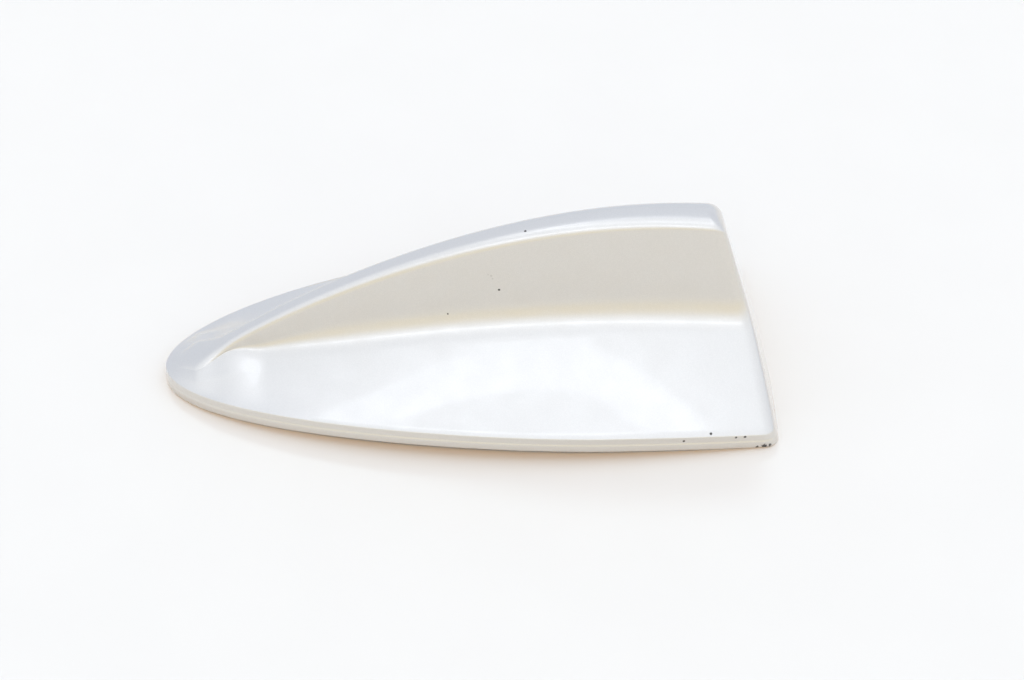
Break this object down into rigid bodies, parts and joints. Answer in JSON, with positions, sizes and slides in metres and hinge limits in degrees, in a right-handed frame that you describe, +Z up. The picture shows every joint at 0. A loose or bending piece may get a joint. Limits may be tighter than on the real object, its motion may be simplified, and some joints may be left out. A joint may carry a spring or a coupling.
{
  "type": "gps antenna",
  "caption": "Fin-shaped roof antenna for a car: painted teardrop cover with a narrow blade and hollow flanks, on an arched rim, with base plate, boards and sockets recessed below.",
  "frame": {"origin": "middle of the footprint at the height of the rim's lowest edge, where the housing rests", "axes": "+X towards the tall rear end, tip at -X; +Y to the left side as seen from above looking along +X, and the right and left sides are mirror images but for the inner parts; +Z up"},
  "size_m": [0.155, 0.075, 0.0499],
  "materials": {
    "cover_paint": "silver metallic paint under clear coat, with a few specks and small chips at the lower edge",
    "black_rubber": "matt",
    "black_foam": "closed-cell foam, matt",
    "cast_metal": "as cast, matt",
    "insert_brass": "machined",
    "board_green": "green solder mask over glass fibre board",
    "chip_black": "moulded, matt",
    "copper_sheet": "bare copper sheet",
    "tinned_steel": "tinned, satin",
    "patch_ceramic": "fired ceramic, matt",
    "silver_face": "fired silver, satin",
    "white_pad": "adhesive foam pad, matt",
    "socket_blue": "moulded, fine matt",
    "socket_red": "moulded, fine matt",
    "nickel": "nickel plated",
    "white_plastic": "smooth, matt",
    "gold": "gold plated",
    "screw_steel": "zinc plated"
  },
  "bodies": {
    "root": {"fin_cover": "cover_paint", "cover_seal": "black_rubber", "base_plate": "cast_metal", "roof_seal": "black_foam", "mount_insert": "insert_brass", "main_board": "board_green", "board_chips": "chip_black", "fin_board": "board_green", "phone_radiator": "copper_sheet", "board_brackets": "tinned_steel", "gps_patch": "patch_ceramic", "patch_silver": "silver_face", "patch_pad": "white_pad", "feed_pin": "silver_face", "shield_can": "tinned_steel", "gps_socket_housing": "socket_blue", "gps_socket_contact": "nickel", "gps_socket_insulator": "white_plastic", "gps_socket_pin": "gold", "phone_socket_housing": "socket_red", "phone_socket_contact": "nickel", "phone_socket_insulator": "white_plastic", "phone_socket_pin": "gold", "board_screws": "screw_steel", "base_screws": "screw_steel"}
  },
  "joints": []
}
